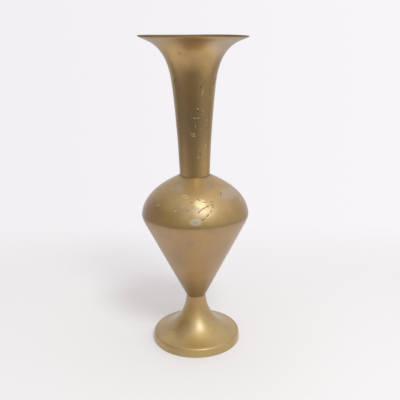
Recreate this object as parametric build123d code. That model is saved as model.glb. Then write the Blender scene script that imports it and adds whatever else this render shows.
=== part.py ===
from build123d import *
import os

# Turned brass trumpet vase in millimetres: the axis is Z and the foot stands on z = 0

# Foot, with its band at the table and a flare up to the waist
foot_radius = 37.3
foot_height = 40.3
foot_wall = 1.8
band_height = 7.2
band_inset = 1.9
rest_width = 3.0
rest_rounding = 0.5
stem_solid_length = 13.0

# Cone between the waist and the belly seam
waist_radius = 8.05
cone_height = 73.7
cone_wall = 1.2
cone_floor_height = 10.5
belly_radius = 43.9
belly_straight_height = 2.5

# Lip on the cone that stands inside the shoulder at the seam
lip_height = 2.5
lip_wall = 1.0
lip_clearance = 0.0575
lip_bead_height = 1.0

# Domed shoulder with a turned-in collar at the top
shoulder_height = 32.0
shoulder_wall = 1.2
seat_margin = 0.3
collar_depth = 5.0
collar_wall = 1.2

# Trumpet neck with a spigot below it
neck_base_radius = 12.2
neck_length = 108.8
neck_wall = 1.4
throat_radius = 17.6
throat_height = 75.3
mouth_radius = 42.8
mouth_wall = 0.6
mouth_rounding = 0.22
spigot_step = 0.6
spigot_length = 7.0
spigot_clearance = 0.05
neck_bead_height = 1.4

# Stud, washer and nut that draw the cone down on the foot
stud_radius = 3.0
stud_depth = 7.5
stud_end = 1.5
thread_clearance = 0.05
stud_hole_clearance = 0.2
washer_radius = 6.0
washer_thickness = 1.6
nut_flats = 10.0
nut_thickness = 5.0

# Handles of the outline's curves, as (out, up) shares of the step from each start to its end
band_shares = ((0.08, 0.55), (0.12, 1.0))
flare_shares = ((0.57, 0.10), (0.945, 0.44))
shoulder_shares = ((0.05, 0.55), (0.66, 0.82))
throat_shares = ((0.10, 0.30), (0.57, 0.78))
mouth_share = (0.838, 0.896)
belly_turn_share = 0.06
throat_run_share = 1.82

# Slope of the dome beside the lip, as a share of its mean slope from the seam to the neck
lip_lean_share = 0.16

# How far a cut runs past the face it opens
overrun = 2.0

waist_level = foot_height
seam_level = waist_level + cone_height
collar_level = seam_level + shoulder_height
throat_level = collar_level + throat_height
mouth_level = collar_level + neck_length


def at(radius, level):
    return Vector(radius, 0, level)


def between(start, end, shares):
    """Control points from start to end, with handles at (out, up) shares of the step."""
    step = end - start
    handles = [start + at(step.X * out, step.Z * up) for out, up in shares]
    return [start, *handles, end]


def moved_in(points, wall, end_wall=None):
    """Control points of the wall's other face, to the left of the curve's run, as it thins to its end."""
    legs = [(after - before).normalized() for before, after in zip(points, points[1:])]
    sides = [at(-leg.Z, leg.X) for leg in legs]
    pairs = zip([sides[0], *sides], [*sides, sides[-1]])
    thinning = (wall - (end_wall or wall)) / len(legs)
    walls = [wall - thinning * count for count in range(len(points))]
    return [p + (a + b) * (w / (1 + a.dot(b))) for p, w, (a, b) in zip(points, walls, pairs)]


def turned(*edges):
    return revolve(make_face(edges), axis=Axis.Z)


def rod(radius, low, high):
    return Pos(0, 0, low) * Cylinder(radius, high - low, align=(Align.CENTER, Align.CENTER, Align.MIN))


def ring(inner_radius, outer_radius, low, high):
    return rod(outer_radius, low, high) - rod(inner_radius, low, high)


# Foot: solid outline, hollowed from below up to the flat seat of the washer
seat_level = waist_level - stem_solid_length
crease = at(foot_radius - band_inset, band_height)
waist = at(waist_radius, waist_level)
rest_edge = at(foot_radius, 0)
rest_inner_radius = foot_radius - rest_width
band = between(rest_edge, crease, band_shares)
flare = between(crease, waist, flare_shares)
flare_inside = moved_in(flare, foot_wall)
foot_blank = turned(
    Bezier(*band),
    Bezier(*flare),
    Polyline(waist, at(0, waist_level), at(0, 0), rest_edge),
)
hollow_blank = turned(
    Bezier(*flare_inside),
    Polyline(
        flare_inside[-1],
        at(0, flare_inside[-1].Z),
        at(0, -overrun),
        at(rest_inner_radius, -overrun),
        at(rest_inner_radius, 0),
        flare_inside[0],
    ),
)
hollow = split(hollow_blank, bisect_by=Plane.XY.offset(seat_level), keep=Keep.BOTTOM)
stud_passage = rod(stud_radius + stud_hole_clearance, seat_level - overrun, waist_level + overrun)
foot_turned = foot_blank - hollow - stud_passage
rest_edges = foot_turned.edges().filter_by(GeomType.CIRCLE).group_by(Axis.Z)[0]
pedestal_foot = fillet(rest_edges, rest_rounding)

# Cone: straight to the belly, with a lip above the seam and a solid end round the stud
lip_level = seam_level + lip_height
neck_seat_radius = neck_base_radius + seat_margin
lip_lean = lip_lean_share * (belly_radius - neck_seat_radius) * lip_height / shoulder_height
lip_outer_radius = belly_radius - shoulder_wall - lip_lean - lip_clearance
lip_inner_radius = lip_outer_radius - lip_wall
belly = at(belly_radius, seam_level)
belly_aim = at(belly_radius, seam_level - belly_straight_height)
belly_turn = belly_aim + (waist - belly_aim) * belly_turn_share
cone_inside = moved_in([waist, belly_turn], cone_wall)
turn_inside = moved_in([belly_turn, belly_aim, belly], cone_wall)
cone_blank = turned(
    Line(waist, belly_turn),
    Bezier(belly_turn, belly_aim, belly),
    Polyline(belly, at(0, seam_level), at(0, waist_level), waist),
)
cavity_blank = turned(
    Line(*cone_inside),
    Bezier(*turn_inside),
    Polyline(
        turn_inside[-1],
        at(turn_inside[-1].X, lip_level + overrun),
        at(0, lip_level + overrun),
        at(0, cone_inside[0].Z),
        cone_inside[0],
    ),
)
cone_cavity = cavity_blank & rod(lip_inner_radius, waist_level + cone_floor_height, lip_level + overrun)
stud_hole = rod(stud_radius + thread_clearance, waist_level - overrun, waist_level + stud_depth)
cone_shell = cone_blank + rod(lip_outer_radius, seam_level, lip_level) - cone_cavity - stud_hole

# Shoulder: a dome whose collar takes the neck's spigot
spigot_radius = neck_base_radius - spigot_step
collar_radius = spigot_radius + spigot_clearance
collar_outer_radius = collar_radius + collar_wall
collar_end = collar_level - collar_depth
dome = between(belly, at(neck_seat_radius, collar_level), shoulder_shares)
dome_inside = moved_in(dome, shoulder_wall)
dome_blank = turned(
    Bezier(*dome),
    Polyline(dome[-1], at(0, collar_level), at(0, seam_level), belly),
)
dome_cavity = turned(
    Bezier(*dome_inside),
    Polyline(
        dome_inside[-1],
        at(0, dome_inside[-1].Z),
        at(0, seam_level - overrun),
        at(dome_inside[0].X, seam_level - overrun),
        dome_inside[0],
    ),
)
collar_blank = rod(collar_outer_radius, collar_end, collar_level)
collar_bore = rod(collar_radius, collar_end - overrun, collar_level + overrun)
shoulder_shell = dome_blank - (dome_cavity - collar_blank) - collar_bore

# Neck: slow taper to the throat, then the trumpet mouth
neck_base = at(neck_base_radius, collar_level)
throat = at(throat_radius, throat_level)
mouth_edge = at(mouth_radius, mouth_level - mouth_wall)
taper = between(neck_base, throat, throat_shares)
throat_handle = throat + (throat - taper[-2]) * throat_run_share
trumpet = [throat, throat_handle, between(throat, mouth_edge, [mouth_share])[1], mouth_edge]
taper_inside = moved_in(taper, neck_wall)
trumpet_inside = moved_in(trumpet, neck_wall, mouth_wall)
spigot_end = collar_level - spigot_length
neck_bore_radius = taper_inside[0].X
neck_turned = turned(
    Bezier(*taper),
    Bezier(*trumpet),
    Line(trumpet[-1], trumpet_inside[-1]),
    Bezier(*trumpet_inside),
    Bezier(*taper_inside),
    Polyline(
        taper_inside[0],
        at(neck_bore_radius, spigot_end),
        at(spigot_radius, spigot_end),
        at(spigot_radius, collar_level),
        neck_base,
    ),
)
mouth_edges = neck_turned.edges().filter_by(GeomType.CIRCLE).sort_by(Axis.Z)[-2:]
trumpet_neck = fillet(mouth_edges, mouth_rounding)

# Solder beads inside the two laps
neck_solder_bead = turned(
    Polyline(
        at(collar_radius, collar_end),
        at(collar_outer_radius, collar_end),
        at(collar_radius, collar_end - neck_bead_height),
        close=True,
    )
)
seam_solder_bead = turned(
    Polyline(
        at(lip_inner_radius, lip_level),
        at(lip_outer_radius, lip_level),
        at((lip_inner_radius + lip_outer_radius) / 2, lip_level + lip_bead_height),
        close=True,
    )
)

# Stud with its washer and nut under the foot
washer_level = seat_level - washer_thickness
nut_level = washer_level - nut_thickness
tie_stud = rod(stud_radius, nut_level - stud_end, waist_level + stud_depth)
foot_washer = ring(stud_radius + stud_hole_clearance, washer_radius, washer_level, seat_level)
nut_outline = RegularPolygon(nut_flats / 2, 6, major_radius=False)
nut_blank = Pos(0, 0, nut_level) * extrude(nut_outline, nut_thickness)
foot_nut = nut_blank - rod(stud_radius + thread_clearance, nut_level, washer_level)

nodes = {
    "trumpet_neck": trumpet_neck,
    "shoulder_shell": shoulder_shell,
    "cone_shell": cone_shell,
    "pedestal_foot": pedestal_foot,
    "neck_solder_bead": neck_solder_bead,
    "seam_solder_bead": seam_solder_bead,
    "tie_stud": tie_stud,
    "foot_washer": foot_washer,
    "foot_nut": foot_nut,
}
os.makedirs("parts", exist_ok=True)
for name, solid in nodes.items():
    export_step(solid, f"parts/{name}.step")
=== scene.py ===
import math

import bmesh
import bpy
from mathutils import Color, Matrix, Vector, noise
from mathutils.geometry import interpolate_bezier


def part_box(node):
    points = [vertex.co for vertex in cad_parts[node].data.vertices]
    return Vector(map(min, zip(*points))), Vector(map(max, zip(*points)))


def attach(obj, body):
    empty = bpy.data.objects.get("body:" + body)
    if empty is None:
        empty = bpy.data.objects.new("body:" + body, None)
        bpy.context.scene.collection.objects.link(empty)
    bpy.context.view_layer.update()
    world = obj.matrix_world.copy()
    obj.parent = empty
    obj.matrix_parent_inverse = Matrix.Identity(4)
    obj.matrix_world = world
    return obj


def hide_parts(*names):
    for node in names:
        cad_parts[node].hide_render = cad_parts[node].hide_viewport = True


# Aged brass trumpet vase: four turned shells with cut leaf sprigs, dressed over the solids

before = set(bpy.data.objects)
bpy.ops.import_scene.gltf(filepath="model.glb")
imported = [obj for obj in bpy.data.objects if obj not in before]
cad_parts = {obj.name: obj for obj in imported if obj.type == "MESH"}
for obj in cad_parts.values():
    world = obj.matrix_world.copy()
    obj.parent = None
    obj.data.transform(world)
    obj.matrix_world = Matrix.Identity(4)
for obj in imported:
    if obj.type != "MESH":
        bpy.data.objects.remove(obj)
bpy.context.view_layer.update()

mm = 0.001

# Levels and radii of the solids
foot_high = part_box("pedestal_foot")[1]
shoulder_low, shoulder_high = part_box("shoulder_shell")
spigot_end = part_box("trumpet_neck")[0].z
stud_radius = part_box("tie_stud")[1].x
foot_radius = foot_high.x
belly_radius = shoulder_high.x
waist_level = foot_high.z
seam_level = shoulder_low.z
collar_level = shoulder_high.z

# Foot
foot_wall = 1.8 * mm
band_height = 7.2 * mm
band_inset = 1.9 * mm
rest_width = 3.0 * mm
stem_solid_length = 13.0 * mm
stud_hole_clearance = 0.2 * mm
crease_width = 0.8 * mm
crease_depth = 0.3 * mm

# Cone and its lip
waist_radius = 8.05 * mm
cone_wall = 1.2 * mm
cone_floor_height = 10.5 * mm
belly_straight_height = 2.5 * mm
lip_height = 2.5 * mm
lip_wall = 1.0 * mm
lip_clearance = 0.45 * mm

# Shoulder and its collar
shoulder_wall = 1.2 * mm
seat_margin = 0.3 * mm
collar_depth = 5.0 * mm
collar_wall = 1.2 * mm

# Neck and its spigot
neck_base_radius = 12.2 * mm
neck_length = 108.8 * mm
neck_wall = 1.4 * mm
mouth_radius = 42.8 * mm
mouth_wall = 0.6 * mm
throat_radius = 17.6 * mm
throat_height = 75.3 * mm
spigot_step = 0.6 * mm
spigot_clearance = 0.05 * mm

# Softened edges
rest_softening = 0.5 * mm
mouth_softening = 0.22 * mm
seam_softening = 0.1 * mm
joint_softening = 0.2 * mm

# Slow waves of the rim: crests round it, azimuth of the first and height; they die out below by a power
rim_waves = ((1, -142, 0.66 * mm), (3, 19, 0.17 * mm))
wave_power = 3

# Unevenness of the walls
uneven_depth = 0.06 * mm
uneven_size = 13 * mm

# Handles of the outline's curves, as (out, up) shares of the step from each start to its end
band_shares = ((0.08, 0.55), (0.12, 1.0))
flare_shares = ((0.57, 0.10), (0.945, 0.44))
shoulder_shares = ((0.05, 0.55), (0.66, 0.82))
throat_shares = ((0.10, 0.30), (0.57, 0.78))
mouth_share = (0.838, 0.896)
belly_turn_share = 0.06
throat_run_share = 1.82
round_share = 2 / 3

# Steps of the turned meshes
turn_steps = 180
curve_steps = 44
short_curve_steps = 12
soft_steps = 3
merge_distance = 0.001 * mm
smooth_angle = math.radians(28)

# Strokes of the graver; each is longer than its share of the curve, so that strokes in a row overlap
stroke_width = 0.65 * mm
stroke_depth = 0.14 * mm
stroke_sides = 8
stroke_length_share = 1.3

# Sprigs: each curve's count of strokes, then its four points as (azimuth, mm above the wall's lower joint)
sprig_copies = 3
tarnished_shoulder_sprig = (
    (5, (2.7, 11.3), (5, 13.6), (13, 16.2), (24, 16.8)),
    (4, (23.5, 16.2), (19, 13.5), (14, 8.2), (5.4, 5.9)),
    (3, (2.3, 20.6), (8, 18.2), (14, 17.6), (26.7, 18.2)),
    (1, (-6, 18.3), (-5, 18.4), (-4, 18.5), (-3, 18.6)),
    (1, (-10, 12.9), (-9, 13.1), (-8, 13.3), (-7, 13.5)),
    (1, (45.3, 22.8), (44, 22.2), (41, 21.4), (39.8, 20.7)),
)
# Pale strokes of painted glints, where the cuts catch the light
painted_glint_shoulder_sprig = (
    (1, (-21.9, 21.4), (-18, 21.9), (-14, 22.4), (-10.1, 22.9)),
    (1, (-16.4, 20.4), (-14, 20.8), (-11, 21.3), (-8.1, 21.7)),
    (1, (-24, 12.2), (-23, 12.5), (-22, 12.8), (-21, 13.1)),
    (1, (-16.5, 15.3), (-16, 15.5), (-15, 15.7), (-14, 15.9)),
    (2, (-51, 13), (-50, 14.4), (-48, 14.6), (-46, 13.6)),
)
# Grey strokes of dimmer painted glints
dim_painted_glint_neck_sprig = (
    (1, (26.3, 70.2), (25, 68.5), (23, 66.8), (21.4, 65)),
    (2, (22.6, 54.4), (31, 53.6), (31, 50.4), (23, 49.7)),
    (2, (-4.1, 48.1), (3, 47.6), (10, 47.5), (16.9, 47.9)),
    (1, (3.2, 43), (3.2, 42), (3.1, 41), (3.1, 39.9)),
    (1, (42.4, 42.3), (42.6, 41), (43, 40), (43.2, 39.1)),
    (1, (48.5, 36.6), (48.7, 36), (49, 35), (49.2, 34.2)),
    (1, (-10.6, 36.8), (-10.6, 36), (-10.4, 35.2), (-10.2, 34.4)),
    (2, (-8.6, 33.6), (-5, 33.3), (0, 33.3), (4.4, 33.6)),
    (2, (-4.6, 34.4), (-2.4, 37.4), (-0.4, 37.4), (1.8, 34.4)),
    (1, (9, 16.4), (11, 15.7), (14, 15.7), (16.6, 16.2)),
)
# Pale strokes of painted glints
painted_glint_neck_sprig = (
    (1, (8.2, 54.9), (10, 54.9), (11, 54.9), (13, 54.9)),
    (1, (39.4, 45.8), (41, 45.8), (42, 45.8), (44, 45.8)),
    (1, (41.7, 26.6), (41.8, 26), (41.9, 25), (42, 24.6)),
)
tarnished_neck_sprig = (
    (2, (30.6, 76.9), (26, 75.5), (20, 73), (15.4, 70.4)),
    (2, (69.5, 77.8), (65, 76), (60, 73.5), (56, 71.3)),
    (1, (20, 20.8), (20.5, 19.5), (20.5, 18), (20, 16.8)),
    (1, (9.4, 53.6), (10.2, 53.2), (11, 52.8), (11.8, 52.4)),
    (1, (21.5, 52.6), (22.5, 52), (23.5, 51.4), (24.5, 50.8)),
    (1, (44.2, 40.8), (44.4, 40), (44.5, 39.4), (44.6, 38.8)),
)

# Tarnish of the brass: size, the noise it begins and is full at, and its strength
cloud_strength = 0.4
clouds = (24 * mm, 0.38, 0.72, cloud_strength)
mottles = (4 * mm, 0.5, 0.8, 0.2)
specks = (1.6 * mm, 0.74, 0.8, 0.5)
tarnish_detail = 3.0
tarnish_roughness = 0.08

# Lathe rings, drawn coarser than the real ones so that they show
ring_spacing = 0.5 * mm
ring_length = 18 * mm
ring_depth = 0.004 * mm
ring_detail = 2.0

# Tint of the metal at grazing angles, the lacquer over it and the film of dust on that
grazing_tint = "#B0ACA8"
lacquer_roughness = 0.4
lacquer_ior = 1.95
dust_weight = 0.45
dust_roughness = 0.3
dust_tint = "#F0EEF4"

# Patches of the hidden metals
spelter_patch_size = 2 * mm
zinc_patch_size = 1.5 * mm

# Dirt in the joints, at the seam with painted shade below the belly; painted shade at the lip and towards
# the waist; a darker band round the neck's middle: reach up and down, and strength
dirt_and_shade_brown = "#5F4A2A"
joint_dirt = (1.4 * mm, 0.33)
seam_dirt_and_shade = (4 * mm, 0.33)
lip_painted_shade = (1.2 * mm, 0.45)
waist_painted_shade = (27 * mm, 0.5)
neck_band_darkening = (34 * mm, 0.34)
neck_band_height = 44 * mm

# Places of the marks on the neck, as (azimuth, mm above the collar)
throat_stain = (-2, 90)
low_stain = (-40, 16)
# A painted reflection: the pale room seen in the flare's right side
flare_painted_reflection = (66, 101)
neck_pit = (-23.9, 96.3)

# Places of the marks on the shoulder and the cone, as (azimuth, mm above the seam)
scuff = (0.3, 5.2)
# Painted reflections: pale patches of the room seen in the shoulder
right_painted_reflection = (60, 20.5)
left_painted_reflection = (-38, 26)
# A painted highlight, drawing the lamp's highlight further up
painted_highlight_spot = (6.2, 17.6)
side_stain = (-62, 9)
smudge = (-5.7, -13.4)
cone_stain = (42, -34)

# Places of the marks on the foot, as (azimuth, mm above the table)
# Painted shade: the dark the foot's left flank reflects
foot_painted_shade = (-36, 14.8)
stem_stain = (0, 35)
foot_pit = (-56.8, 12.5)

# Marks of each wall: tone, strength, place, and half sizes in mm round the wall, up it and out of it
neck_marks = (
    ("#9C7010", 0.4, throat_stain, (18, 15, 15)),
    ("#A06450", 0.28, low_stain, (12, 26, 12)),
    # Painted reflection of the pale room on the flare's right side
    ("#DECCBC", 0.36, flare_painted_reflection, (36, 15, 20)),
    ("#5E4322", 0.5, neck_pit, (1.9, 1.9, 1.9)),
)
shoulder_marks = (
    ("#D8D4C6", 0.46, scuff, (6.4, 3.6, 3)),
    ("#8E8880", 0.45, scuff, (3.4, 1.6, 1.6)),
    # Painted reflections of the room, as pale patches on the right and the left
    ("#CDBFB2", 0.36, right_painted_reflection, (17, 8, 8)),
    ("#CDBFAE", 0.2, left_painted_reflection, (10, 5, 5)),
    # Painted highlight above the lamp's highlight
    ("#FCE9A8", 0.6, painted_highlight_spot, (6, 5.2, 5)),
    ("#8C5040", 0.25, side_stain, (24, 13, 16)),
)
cone_marks = (
    ("#8A6A5C", 0.3, smudge, (5, 5, 3)),
    ("#8A6030", 0.2, cone_stain, (26, 30, 20)),
)
foot_marks = (
    # Painted shade on the foot's left flank
    ("#86570C", 0.36, foot_painted_shade, (9, 12, 9)),
    ("#AE7036", 0.35, stem_stain, (12, 12, 12)),
    ("#5E4322", 0.4, foot_pit, (1.7, 1.7, 1.7)),
)
# Share of the way in from a mark's edge at which it has its full strength
mark_edge_share = 0.6

# Camera
camera_distance = 454.5 * mm
camera_height = 258.0 * mm
camera_pitch = 16.39
camera_yaw = 0.51
camera_roll = 0.47
camera_lens = 51.8

# Floor, an oval sheet of paper that fades out at its edge and behind the vase
floor_half_width = 560 * mm
floor_half_length = 310 * mm
floor_edge_share = 0.07
floor_back = 200 * mm
floor_back_fade = 120 * mm
floor_sides = 96
paper_white = "#E2DFDE"
paper_roughness = 0.9
paper_gloss = 0.1
# A painted glow of the paper, lightening its shadows
paper_painted_glow_white = "#FFFDFF"
paper_painted_glow_strength = 0.1

# Lamp
lamp_azimuth = 24
lamp_elevation = 50
lamp_distance = 1200 * mm
lamp_size = 400 * mm
lamp_power = 6.3
lamp_white = "#F4FFFD"

# Room: where each part of it begins and is full, along an axis of the direction that is looked in
room_shares = {
    "not behind": ("Y", 0.85, 0.25),
    "low in front": ("Z", 0.45, 0.1),
    "low at the left": ("Z", 1.0, 0.5),
    "below": ("Z", 0.02, -0.22),
    "left": ("X", -0.1, -0.8),
    "right": ("X", 0.1, 0.8),
    "left to right": ("X", -0.5, 0.5),
    "backdrop left to right": ("X", -0.4, 0.4),
}
overhead_share = 0.8
overhead_strength = 1.65
ceiling_white = "#E4E2E5"
backdrop_left_white = "#F2EFF2"
backdrop_right_white = "#F8F5F9"
# Walls in front, to the left and to the right, above and below the camera's level
upper_walls = ("#827E78", "#86827C", "#BCB8B2")
lower_walls = ("#5F5A53", "#68645D", "#8C8882")


def at(radius, level):
    return Vector((radius, 0, level))


def between(start, end, shares):
    """Control points from start to end, with handles at (out, up) shares of the step."""
    step = end - start
    handles = [start + at(step.x * out, step.z * up) for out, up in shares]
    return [start, *handles, end]


def moved_in(points, wall, end_wall=None):
    """Control points of the wall's other face, to the left of the curve's run, as it thins to its end."""
    legs = [(after - before).normalized() for before, after in zip(points, points[1:])]
    sides = [at(-leg.z, leg.x) for leg in legs]
    pairs = zip([sides[0], *sides], [*sides, sides[-1]])
    thinning = (wall - (end_wall or wall)) / len(legs)
    walls = [wall - thinning * count for count in range(len(points))]
    return [p + (a + b) * (w / (1 + a.dot(b))) for p, w, (a, b) in zip(points, walls, pairs)]


def rounded(start, aim, end):
    """Control points of a round turn from start to end that aims at a corner."""
    return [start, start.lerp(aim, round_share), end.lerp(aim, round_share), end]


def along(points, steps=curve_steps):
    """Points along a curve, from its control points."""
    return interpolate_bezier(*points, steps)


def turned(outline, softened, closed=True):
    """A turned mesh: some corners of the outline are softened, then it is spun round the axis."""
    shape = bmesh.new()
    points = [shape.verts.new(point) for point in outline]
    ends = [points[0]] if closed else []
    for run in zip(points, [*points[1:], *ends]):
        shape.edges.new(run)
    for corner, width in softened:
        nearest = min(shape.verts, key=lambda vert: (vert.co - corner).length)
        bmesh.ops.bevel(
            shape,
            geom=[nearest],
            offset=width,
            affect="VERTICES",
            segments=soft_steps,
            profile=0.5,
            material=-1,
        )
    bmesh.ops.spin(
        shape,
        geom=[*shape.verts, *shape.edges],
        cent=(0, 0, 0),
        axis=(0, 0, 1),
        angle=math.tau,
        steps=turn_steps,
        use_merge=True,
    )
    bmesh.ops.remove_doubles(shape, verts=shape.verts, dist=merge_distance)
    bmesh.ops.recalc_face_normals(shape, faces=shape.faces)
    return shape


def made_uneven(shape):
    """Moves a wall in and out a little, as hand polishing and years of use leave it."""
    for vert in shape.verts:
        radius = vert.co.xy.length
        if radius > uneven_depth:
            share = 1 + uneven_depth * noise.noise(vert.co / uneven_size) / radius
            vert.co.xy = vert.co.xy * share


def unpolished_inside_and_shaded_lip(shape, material_number, reach, lip_level=math.inf):
    """Gives the faces inside a shell, and those above a lip's level, a material of their own; on the lip
    its darker brass is painted shade.
    """
    for face in shape.faces:
        centre = face.calc_center_median()
        inside = face.normal.xy.dot(centre.xy) < 0 and centre.xy.length < reach
        if inside or centre.z > lip_level:
            face.material_index = material_number


def waved(shape, low, high):
    """Lifts and lowers the rim in slow waves that die out below it."""
    for vert in shape.verts:
        rise = max(0, (vert.co.z - low) / (high - low)) ** wave_power
        azimuth = math.atan2(vert.co.x, -vert.co.y)
        for crests, crest_azimuth, height in rim_waves:
            vert.co.z += rise * height * math.cos(crests * (azimuth - math.radians(crest_azimuth)))


def piece_from(name, shape, materials):
    """An object made from a bmesh, at the origin."""
    mesh = bpy.data.meshes.new(name)
    shape.to_mesh(mesh)
    shape.free()
    for material in materials:
        mesh.materials.append(material)
    piece = bpy.data.objects.new(name, mesh)
    bpy.context.scene.collection.objects.link(piece)
    return piece


def smoothed(piece):
    """Smooth shading that keeps the crisp edges."""
    for face in piece.data.polygons:
        face.use_smooth = True
    piece.data.set_sharp_from_angle(angle=smooth_angle)


def on_wall(outline, azimuth, level):
    """A place on a wall, with X round it, Y up it and Z out of it."""
    low, high = next(run for run in zip(outline, outline[1:]) if run[0].z <= level <= run[1].z)
    up = (high - low).normalized()
    place = Matrix(((0, 1, 0), up, (up.z, 0, -up.x))).transposed().to_4x4()
    place.translation = low.lerp(high, (level - low.z) / (high.z - low.z))
    return Matrix.Rotation(math.radians(azimuth - 90), 4, "Z") @ place


def cut_stroke(cutter, outline, start, end):
    """One stroke of the graver: a slim double wedge, half of it inside the wall."""
    first, last = (on_wall(outline, spot.x, spot.z).translation for spot in (start, end))
    place = on_wall(outline, (start.x + end.x) / 2, (start.z + end.z) / 2)
    run = place.to_3x3().transposed() @ (last - first)
    lay = Matrix.Rotation(math.atan2(run.y, run.x), 4, "Z")
    size = Matrix.Diagonal((run.length / 2, stroke_width / 2, stroke_depth, 1))
    bmesh.ops.create_uvsphere(
        cutter,
        u_segments=stroke_sides,
        v_segments=2,
        radius=1,
        matrix=place @ lay @ size,
    )


def cut_sprigs(cutter, outline, joint_level, sprig, material_number):
    """A sprig of strokes, repeated round the wall; their faces take one of the piece's materials."""
    for copy in range(sprig_copies):
        for count, *points in sprig:
            spots = [at(spot[0] + copy * 360 / sprig_copies, joint_level + spot[1] * mm) for spot in points]
            marks = along(spots, count + 1)
            for start, end in zip(marks, marks[1:]):
                middle = (start + end) / 2
                stroke = [middle.lerp(mark, stroke_length_share) for mark in (start, end)]
                cut_stroke(cutter, outline, *stroke)
    for face in cutter.faces:
        face.material_index = face.material_index or material_number


def engraved(piece, cutter):
    """Cuts the strokes into a piece; the cut faces keep the material of their strokes."""
    tool = piece_from("graver", cutter, piece.data.materials)
    cut = piece.modifiers.new("engraving", "BOOLEAN")
    cut.operation = "DIFFERENCE"
    cut.solver = "MANIFOLD"
    cut.object = tool
    finished = piece.evaluated_get(bpy.context.evaluated_depsgraph_get())
    piece.data = bpy.data.meshes.new_from_object(finished)
    piece.modifiers.clear()
    bpy.data.objects.remove(tool)


def linear(code):
    """Linear colour of an sRGB hex value."""
    shares = [channel / 255 for channel in bytes.fromhex(code.lstrip("#"))]
    return (*Color(shares).from_srgb_to_scene_linear(), 1)


def add(tree, kind, inputs, **settings):
    """A node with its settings; each input is a value or another node's output."""
    made = tree.nodes.new(kind)
    for name, value in settings.items():
        setattr(made, name, value)
    for socket, value in inputs.items():
        if isinstance(value, bpy.types.NodeSocket):
            tree.links.new(value, made.inputs[socket])
        else:
            made.inputs[socket].default_value = value
    return made


def new_material(name):
    """An empty node material."""
    material = bpy.data.materials.new(name)
    material.use_nodes = True
    material.node_tree.nodes.clear()
    return material


def marks_on(outline, joint_level, marks):
    """A wall's marks in metres: tone, strength, place and half sizes of each."""
    placed = []
    for tone, strength, (azimuth, height), half_sizes in marks:
        place = on_wall(outline, azimuth, joint_level + height * mm)
        placed.append((tone, strength, place, [half_size * mm for half_size in half_sizes]))
    return placed


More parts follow.
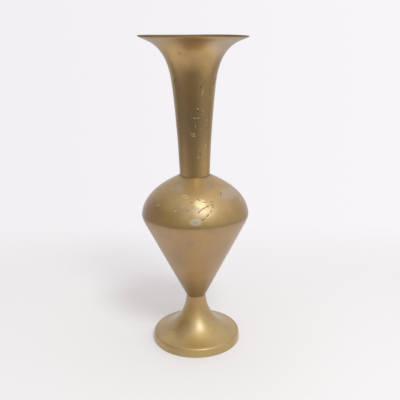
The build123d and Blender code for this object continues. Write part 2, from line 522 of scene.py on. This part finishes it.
def aged_brass(
    name,
    bright,
    brown,
    clean_share,
    roughness,
    tarnish_offset,
    dark_lines=(),
    marks=(),
    lacquer=0.0,
    drawn_out=0.3,
):
    """Turned brass, hand polished long ago: a warm satin metal whose fine rings from the lathe draw every
    highlight out up and down, with brown clouds of tarnish, darker lines and bands, some of them dirt at
    the joints and some painted shade, and a few stains and scuffs, among them painted highlights,
    reflections and shade.
    Outside it is lacquered, and a film of dust pales it towards its edges. The clean share of it still
    reflects as bare metal, and the offset gives each piece clouds of its own."""
    material = new_material(name)
    tree = material.node_tree
    place = add(tree, "ShaderNodeTexCoord", {}).outputs["Object"]
    moved = add(tree, "ShaderNodeMapping", {"Vector": place, "Location": tarnish_offset}).outputs[0]
    layers = []
    for size, low, high, strength in (clouds, mottles, specks):
        inputs = {"Vector": moved, "Scale": 1 / size, "Detail": tarnish_detail}
        stain = add(tree, "ShaderNodeTexNoise", inputs)
        amount = add(
            tree,
            "ShaderNodeMapRange",
            {"Value": stain.outputs["Fac"], "From Min": low, "From Max": high, "To Max": strength},
            interpolation_type="SMOOTHSTEP",
        )
        layers.append((amount.outputs[0], brown))
    cloud = layers[0][0]
    level = add(tree, "ShaderNodeSeparateXYZ", {"Vector": place}).outputs["Z"]
    # Darker lines and bands: dirt at the joints, painted shade at others
    for dark_level, reach, strength in dark_lines:
        off = add(tree, "ShaderNodeMath", {0: level, 1: dark_level}, operation="SUBTRACT").outputs[0]
        gap = add(tree, "ShaderNodeMath", {0: off}, operation="ABSOLUTE").outputs[0]
        amount = add(
            tree,
            "ShaderNodeMapRange",
            {"Value": gap, "From Max": reach, "To Min": strength, "To Max": 0.0},
            interpolation_type="SMOOTHSTEP",
        )
        layers.append((amount.outputs[0], dirt_and_shade_brown))
    for tone, strength, spot, half_sizes in marks:
        inputs = {"Location": spot.translation, "Rotation": spot.to_euler(), "Scale": half_sizes}
        local = add(tree, "ShaderNodeMapping", {"Vector": place, **inputs}, vector_type="TEXTURE")
        patch = add(tree, "ShaderNodeTexGradient", {"Vector": local.outputs[0]}, gradient_type="SPHERICAL")
        amount = add(
            tree,
            "ShaderNodeMapRange",
            {"Value": patch.outputs["Fac"], "From Max": mark_edge_share, "To Max": strength},
            interpolation_type="SMOOTHSTEP",
        )
        layers.append((amount.outputs[0], tone))
    colour = linear(bright)
    for amount, tone in layers:
        mixed = add(tree, "ShaderNodeMixRGB", {"Fac": amount, "Color1": colour, "Color2": linear(tone)})
        colour = mixed.outputs[0]
    tarnished = roughness + tarnish_roughness
    rough = add(
        tree,
        "ShaderNodeMapRange",
        {"Value": cloud, "From Max": cloud_strength, "To Min": roughness, "To Max": tarnished},
    )
    rings = add(
        tree,
        "ShaderNodeMapping",
        {"Vector": place, "Scale": (1 / ring_length, 1 / ring_length, 1 / ring_spacing)},
    )
    lathe = add(
        tree,
        "ShaderNodeTexNoise",
        {"Vector": rings.outputs[0], "Scale": 1.0, "Detail": ring_detail},
    )
    grain = add(tree, "ShaderNodeBump", {"Height": lathe.outputs["Fac"], "Distance": ring_depth})
    upward = add(tree, "ShaderNodeCombineXYZ", {"Z": 1.0})
    brass = add(
        tree,
        "ShaderNodeBsdfPrincipled",
        {
            "Base Color": colour,
            "Metallic": clean_share,
            "Roughness": rough.outputs[0],
            "Anisotropic": drawn_out,
            "Tangent": upward.outputs[0],
            "Normal": grain.outputs[0],
            "Specular Tint": linear(grazing_tint),
            "Sheen Weight": dust_weight * lacquer,
            "Sheen Roughness": dust_roughness,
            "Sheen Tint": linear(dust_tint),
            "Coat Weight": lacquer,
            "Coat Roughness": lacquer_roughness,
            "Coat IOR": lacquer_ior,
        },
    )
    add(tree, "ShaderNodeOutputMaterial", {"Surface": brass.outputs[0]})
    return material


def plain_metal(name, light, dark, patch_size, roughness):
    """Metal left unpolished: a soft grey or dull yellow gloss with small lighter and darker patches."""
    material = new_material(name)
    tree = material.node_tree
    place = add(tree, "ShaderNodeTexCoord", {}).outputs["Object"]
    patches = add(tree, "ShaderNodeTexNoise", {"Vector": place, "Scale": 1 / patch_size})
    colour = add(
        tree,
        "ShaderNodeMixRGB",
        {"Fac": patches.outputs["Fac"], "Color1": linear(light), "Color2": linear(dark)},
    )
    metal = add(
        tree,
        "ShaderNodeBsdfPrincipled",
        {"Base Color": colour.outputs[0], "Metallic": 1.0, "Roughness": roughness},
    )
    add(tree, "ShaderNodeOutputMaterial", {"Surface": metal.outputs[0]})
    return material


# Foot's outline
crease = at(foot_radius - band_inset, band_height)
waist = at(waist_radius, waist_level)
rest_edge = at(foot_radius, 0)
rest_inner = at(foot_radius - rest_width, 0)
band = between(rest_edge, crease, band_shares)
flare = between(crease, waist, flare_shares)
flare_inside = moved_in(flare, foot_wall)
seat_level = waist_level - stem_solid_length
stud_hole = stud_radius + stud_hole_clearance
inside_run = [point for point in along(flare_inside) if point.z < seat_level]
band_run = [point for point in along(band) if (point - crease).length > crease_width / 2]
flare_run = [point for point in along(flare) if (point - crease).length > crease_width / 2]
crease_bottom = crease - at(0, crease_depth)
foot_outline = [
    *band_run,
    crease_bottom,
    *flare_run,
    at(stud_hole, waist_level),
    at(stud_hole, seat_level),
    at(inside_run[-1].x, seat_level),
    *reversed(inside_run),
    rest_inner,
]

# Cone's outline
belly = at(belly_radius, seam_level)
belly_aim = at(belly_radius, seam_level - belly_straight_height)
belly_turn = belly_aim + (waist - belly_aim) * belly_turn_share
cone_run = [waist, belly_turn]
cone_inside = moved_in(cone_run, cone_wall)
turn_inside = moved_in([belly_turn, belly_aim, belly], cone_wall)
turn_inside_run = along(rounded(*turn_inside), short_curve_steps)
lip_level = seam_level + lip_height
lip_outer_radius = belly_radius - shoulder_wall - lip_clearance
lip_inner_radius = lip_outer_radius - lip_wall
cone_floor_level = waist_level + cone_floor_height
cone_floor_share = (cone_floor_level - cone_inside[0].z) / (cone_inside[1].z - cone_inside[0].z)
cone_floor_edge = cone_inside[0].lerp(cone_inside[1], cone_floor_share)
cone_outline = [
    at(0, waist_level),
    *(waist.lerp(belly_turn, step / curve_steps) for step in range(curve_steps)),
    *along(rounded(belly_turn, belly_aim, belly), short_curve_steps),
    at(lip_outer_radius, seam_level),
    at(lip_outer_radius, lip_level),
    at(lip_inner_radius, lip_level),
    *(point for point in reversed(turn_inside_run) if point.x < lip_inner_radius),
    cone_floor_edge,
    at(0, cone_floor_level),
]

# Shoulder's outline
spigot_radius = neck_base_radius - spigot_step
collar_radius = spigot_radius + spigot_clearance
collar_outer_radius = collar_radius + collar_wall
collar_end = collar_level - collar_depth
seat_edge = at(neck_base_radius + seat_margin, collar_level)
dome = between(belly, seat_edge, shoulder_shares)
dome_inside = moved_in(dome, shoulder_wall)
dome_run = along(dome)
shoulder_outline = [
    *dome_run,
    at(collar_radius, collar_level),
    at(collar_radius, collar_end),
    at(collar_outer_radius, collar_end),
    *(point for point in reversed(along(dome_inside)) if point.x > collar_outer_radius),
]

# Neck's outline
neck_base = at(neck_base_radius, collar_level)
throat = at(throat_radius, collar_level + throat_height)
mouth_level = collar_level + neck_length
mouth_edge = at(mouth_radius, mouth_level - mouth_wall)
taper = between(neck_base, throat, throat_shares)
throat_handle = throat + (throat - taper[-2]) * throat_run_share
trumpet = [throat, throat_handle, between(throat, mouth_edge, [mouth_share])[1], mouth_edge]
taper_inside = moved_in(taper, neck_wall)
trumpet_inside = moved_in(trumpet, neck_wall, mouth_wall)
neck_run = along(taper) + along(trumpet)[1:]
neck_inside_run = along(taper_inside) + along(trumpet_inside)[1:]
neck_outline = [
    *neck_run,
    *reversed(neck_inside_run),
    at(taper_inside[0].x, spigot_end),
    at(spigot_radius, spigot_end),
    at(spigot_radius, collar_level),
]

# Brass of the neck, buffed smoother than the rest and darker in a band round its middle
neck_brass = aged_brass(
    "brass_neck_polished",
    bright="#C69C4A",
    brown="#88693C",
    clean_share=0.9,
    roughness=0.3,
    tarnish_offset=(0.13, 0.31, 0.07),
    dark_lines=[
        (collar_level, *joint_dirt),
        # A darker band round the neck's middle
        (collar_level + neck_band_height, *neck_band_darkening),
        # Painted shade darkening the lip
        (mouth_level, *lip_painted_shade),
    ],
    marks=marks_on(neck_run, collar_level, neck_marks),
    lacquer=1.0,
    drawn_out=0.0,
)

# Brass of the shoulder, the most scuffed of the four, so that its gloss is the softest
shoulder_brass = aged_brass(
    "brass_shoulder_polished",
    bright="#BA954A",
    brown="#876438",
    clean_share=0.7,
    roughness=0.57,
    tarnish_offset=(0.41, 0.12, 0.23),
    # Dirt in the collar's joint; at the seam, dirt with painted shade below the belly
    dark_lines=[(collar_level, *joint_dirt), (seam_level, *seam_dirt_and_shade)],
    marks=marks_on(dome_run, seam_level, shoulder_marks),
    lacquer=1.0,
)

# Brass of the cone, with painted shade darkening it towards the waist
cone_brass = aged_brass(
    "brass_cone_polished",
    bright="#B38944",
    brown="#8A6837",
    clean_share=0.75,
    roughness=0.5,
    tarnish_offset=(0.05, 0.22, 0.37),
    dark_lines=[(waist_level, *waist_painted_shade)],
    marks=marks_on(cone_run, seam_level, cone_marks),
    lacquer=1.0,
)

# Brass of the foot, paler and yellower
foot_brass = aged_brass(
    "brass_foot_polished",
    bright="#BC9A50",
    brown="#8E6F3C",
    clean_share=0.62,
    roughness=0.5,
    tarnish_offset=(0.27, 0.44, 0.15),
    marks=marks_on(flare_run, rest_edge.z, foot_marks),
    lacquer=1.0,
)

# Brass inside the shells, never polished or lacquered: dull and brown; on the neck's rim top the same
# darker brass is painted shade
inside_and_lip_shade_brass = aged_brass(
    "brass_inside_unpolished_and_lip_shade",
    bright="#866B44",
    brown="#5E4A2C",
    clean_share=0.6,
    roughness=0.55,
    tarnish_offset=(0.21, 0.37, 0.11),
)

# Cut lines: dark where tarnish fills them; the pale and the grey ones are painted glints of light in the
# cuts
tarnished_cut_brass = aged_brass(
    "brass_cut_line_tarnished",
    bright="#5C4826",
    brown="#3C2F18",
    clean_share=0.3,
    roughness=0.6,
    tarnish_offset=(0.33, 0.05, 0.19),
)
painted_glint_cut_brass = aged_brass(
    "brass_cut_line_painted_glint",
    bright="#D8CAA8",
    brown="#A89670",
    clean_share=0.2,
    roughness=0.6,
    tarnish_offset=(0.17, 0.29, 0.41),
)
dim_painted_glint_cut_brass = aged_brass(
    "brass_cut_line_dim_painted_glint",
    bright="#B2A58A",
    brown="#90805F",
    clean_share=0.15,
    roughness=0.7,
    tarnish_offset=(0.07, 0.19, 0.31),
)

# Foot
foot_finishes = [foot_brass, inside_and_lip_shade_brass]
foot_shape = turned(
    foot_outline,
    [(rest_edge, rest_softening), (rest_inner, rest_softening), (waist, joint_softening)],
)
made_uneven(foot_shape)
unpolished_inside_and_shaded_lip(foot_shape, foot_finishes.index(inside_and_lip_shade_brass), rest_inner.x)
foot = piece_from("foot_turned", foot_shape, foot_finishes)

# Cone, whose outline starts and ends on the axis
cone_finishes = [cone_brass, inside_and_lip_shade_brass]
cone_shape = turned(
    cone_outline,
    [(belly, seam_softening), (waist, joint_softening)],
    closed=False,
)
made_uneven(cone_shape)
unpolished_inside_and_shaded_lip(cone_shape, cone_finishes.index(inside_and_lip_shade_brass), belly_radius)
cone = piece_from("cone_turned", cone_shape, cone_finishes)

# Shoulder with its cut sprigs
shoulder_finishes = [shoulder_brass, tarnished_cut_brass, painted_glint_cut_brass, inside_and_lip_shade_brass]
shoulder_shape = turned(shoulder_outline, [(belly, seam_softening), (seat_edge, joint_softening)])
made_uneven(shoulder_shape)
unpolished_inside_and_shaded_lip(shoulder_shape, shoulder_finishes.index(inside_and_lip_shade_brass), belly_radius)
shoulder = piece_from("shoulder_turned", shoulder_shape, shoulder_finishes)
shoulder_cutter = bmesh.new()
for sprig, finish in (
    (tarnished_shoulder_sprig, tarnished_cut_brass),
    (painted_glint_shoulder_sprig, painted_glint_cut_brass),
):
    cut_sprigs(shoulder_cutter, dome_run, seam_level, sprig, shoulder_finishes.index(finish))
engraved(shoulder, shoulder_cutter)

# Neck with its wavy rim and cut sprigs
neck_finishes = [neck_brass, dim_painted_glint_cut_brass, inside_and_lip_shade_brass, tarnished_cut_brass, painted_glint_cut_brass]
neck_shape = turned(
    neck_outline,
    [(mouth_edge, mouth_softening), (trumpet_inside[-1], mouth_softening), (neck_base, joint_softening)],
)
made_uneven(neck_shape)
# The rim's top takes the inside's darker brass: painted shade over the lip
unpolished_inside_and_shaded_lip(neck_shape, neck_finishes.index(inside_and_lip_shade_brass), mouth_radius, mouth_edge.z)
waved(neck_shape, throat.z, mouth_level)
neck = piece_from("neck_turned", neck_shape, neck_finishes)
neck_cutter = bmesh.new()
for sprig, finish in (
    (dim_painted_glint_neck_sprig, dim_painted_glint_cut_brass),
    (painted_glint_neck_sprig, painted_glint_cut_brass),
    (tarnished_neck_sprig, tarnished_cut_brass),
):
    cut_sprigs(neck_cutter, neck_run, collar_level, sprig, neck_finishes.index(finish))
engraved(neck, neck_cutter)

for piece, node, slot in (
    (foot, "pedestal_foot", "foot_brass"),
    (cone, "cone_shell", "cone_brass"),
    (shoulder, "shoulder_shell", "shoulder_brass"),
    (neck, "trumpet_neck", "neck_brass"),
):
    smoothed(piece)
    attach(piece, "root")
    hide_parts(node)

# Hidden pieces: solder as it ran, and plated steel
spelter = plain_metal(
    "spelter_dull",
    light="#A89468",
    dark="#7A6C50",
    patch_size=spelter_patch_size,
    roughness=0.5,
)
zinc = plain_metal(
    "steel_zinc_plated",
    light="#B4B4B0",
    dark="#8A8880",
    patch_size=zinc_patch_size,
    roughness=0.4,
)
for node, material in (
    ("neck_solder_bead", spelter),
    ("seam_solder_bead", spelter),
    ("tie_stud", zinc),
    ("foot_washer", zinc),
    ("foot_nut", zinc),
):
    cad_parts[node].data.materials.clear()
    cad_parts[node].data.materials.append(material)

# Floor of white paper, with a painted glow that lightens the shadows on it
floor_shape = bmesh.new()
bmesh.ops.create_circle(
    floor_shape,
    cap_ends=True,
    segments=floor_sides,
    radius=1 + floor_edge_share,
    matrix=Matrix.Diagonal((floor_half_width, floor_half_length, 1, 1)),
)
floor_material = new_material("white_paper_floor")
floor_tree = floor_material.node_tree
floor_place = add(floor_tree, "ShaderNodeTexCoord", {}).outputs["Object"]
to_oval = (1 / floor_half_width, 1 / floor_half_length, 0)
oval_place = add(floor_tree, "ShaderNodeMapping", {"Vector": floor_place, "Scale": to_oval}).outputs[0]
out_share = add(floor_tree, "ShaderNodeVectorMath", {0: oval_place}, operation="LENGTH").outputs["Value"]
depth = add(floor_tree, "ShaderNodeSeparateXYZ", {"Vector": floor_place}).outputs["Y"]
inside_edge, inside_back = (
    add(
        floor_tree,
        "ShaderNodeMapRange",
        {"Value": value, "From Min": edge + fade, "From Max": edge - fade},
        interpolation_type="SMOOTHSTEP",
    ).outputs[0]
    for value, edge, fade in ((out_share, 1, floor_edge_share), (depth, floor_back, floor_back_fade))
)
shown = add(floor_tree, "ShaderNodeMath", {0: inside_edge, 1: inside_back}, operation="MULTIPLY").outputs[0]
paper = add(
    floor_tree,
    "ShaderNodeBsdfPrincipled",
    {
        "Base Color": linear(paper_white),
        "Roughness": paper_roughness,
        "Specular IOR Level": paper_gloss,
        "Emission Color": linear(paper_painted_glow_white),
        "Emission Strength": paper_painted_glow_strength,
        "Alpha": shown,
    },
)
add(floor_tree, "ShaderNodeOutputMaterial", {"Surface": paper.outputs[0]})
floor = piece_from("floor", floor_shape, [floor_material])

# Light: a pale room whose front and sides are darker below the ceiling, and one soft lamp
world = bpy.data.worlds.new("studio")
bpy.context.scene.world = world
world.use_nodes = True
world_tree = world.node_tree
world_tree.nodes.clear()
look = add(world_tree, "ShaderNodeTexCoord", {}).outputs["Generated"]
look_axes = add(world_tree, "ShaderNodeSeparateXYZ", {"Vector": look}).outputs
masks = {}
for part, (axis, start, end) in room_shares.items():
    mask = add(
        world_tree,
        "ShaderNodeMapRange",
        {"Value": look_axes[axis], "From Min": start, "From Max": end},
        interpolation_type="SMOOTHSTEP",
    )
    masks[part] = mask.outputs[0]
low_left = add(
    world_tree,
    "ShaderNodeMath",
    {0: masks["low at the left"], 1: masks["left"]},
    operation="MULTIPLY",
).outputs[0]
low = add(
    world_tree,
    "ShaderNodeMath",
    {0: masks["low in front"], 1: low_left},
    operation="MAXIMUM",
).outputs[0]
dark = add(
    world_tree,
    "ShaderNodeMath",
    {0: low, 1: masks["not behind"]},
    operation="MULTIPLY",
).outputs[0]
off_front = add(
    world_tree,
    "ShaderNodeMath",
    {0: masks["left"], 1: masks["right"]},
    operation="ADD",
).outputs[0]
tiers = []
for front_tone, left_tone, right_tone in (upper_walls, lower_walls):
    side_walls = add(
        world_tree,
        "ShaderNodeMixRGB",
        {"Fac": masks["left to right"], "Color1": linear(left_tone), "Color2": linear(right_tone)},
    ).outputs[0]
    tier = add(
        world_tree,
        "ShaderNodeMixRGB",
        {"Fac": off_front, "Color1": linear(front_tone), "Color2": side_walls},
    ).outputs[0]
    tiers.append(tier)
walls = add(
    world_tree,
    "ShaderNodeMixRGB",
    {"Fac": masks["below"], "Color1": tiers[0], "Color2": tiers[1]},
).outputs[0]
room = add(
    world_tree,
    "ShaderNodeMixRGB",
    {"Fac": dark, "Color1": linear(ceiling_white), "Color2": walls},
).outputs[0]
backdrop = add(
    world_tree,
    "ShaderNodeMixRGB",
    {
        "Fac": masks["backdrop left to right"],
        "Color1": linear(backdrop_left_white),
        "Color2": linear(backdrop_right_white),
    },
).outputs[0]
rays = add(world_tree, "ShaderNodeLightPath", {}).outputs["Is Camera Ray"]
seen = add(
    world_tree,
    "ShaderNodeMixRGB",
    {"Fac": rays, "Color1": room, "Color2": backdrop},
).outputs[0]
overhead = add(
    world_tree,
    "ShaderNodeMapRange",
    {"Value": look_axes["Z"], "From Min": overhead_share, "To Min": 1.0, "To Max": overhead_strength},
    interpolation_type="SMOOTHSTEP",
).outputs[0]
air = add(world_tree, "ShaderNodeBackground", {"Color": seen, "Strength": overhead})
add(world_tree, "ShaderNodeOutputWorld", {"Surface": air.outputs[0]})

light = bpy.data.lights.new("lamp", "AREA")
light.shape = "DISK"
light.size = lamp_size
light.energy = lamp_power
light.color = linear(lamp_white)[:3]
lamp = bpy.data.objects.new("lamp", light)
lamp.matrix_world = (
    Matrix.Translation((0, 0, seam_level))
    @ Matrix.Rotation(math.radians(lamp_azimuth), 4, "Z")
    @ Matrix.Rotation(math.radians(90 - lamp_elevation), 4, "X")
    @ Matrix.Translation((0, 0, lamp_distance))
)
bpy.context.scene.collection.objects.link(lamp)

# Camera at the photograph's place
camera_data = bpy.data.cameras.new("camera")
camera_data.lens = camera_lens
camera = bpy.data.objects.new("camera", camera_data)
camera.location = (0, -camera_distance, camera_height)
camera.rotation_euler = (
    Matrix.Rotation(math.radians(-camera_yaw), 3, "Z")
    @ Matrix.Rotation(math.radians(90 - camera_pitch), 3, "X")
    @ Matrix.Rotation(math.radians(-camera_roll), 3, "Z")
).to_euler()
bpy.context.scene.collection.objects.link(camera)
bpy.context.scene.camera = camera
bpy.context.scene.view_settings.view_transform = "Standard"
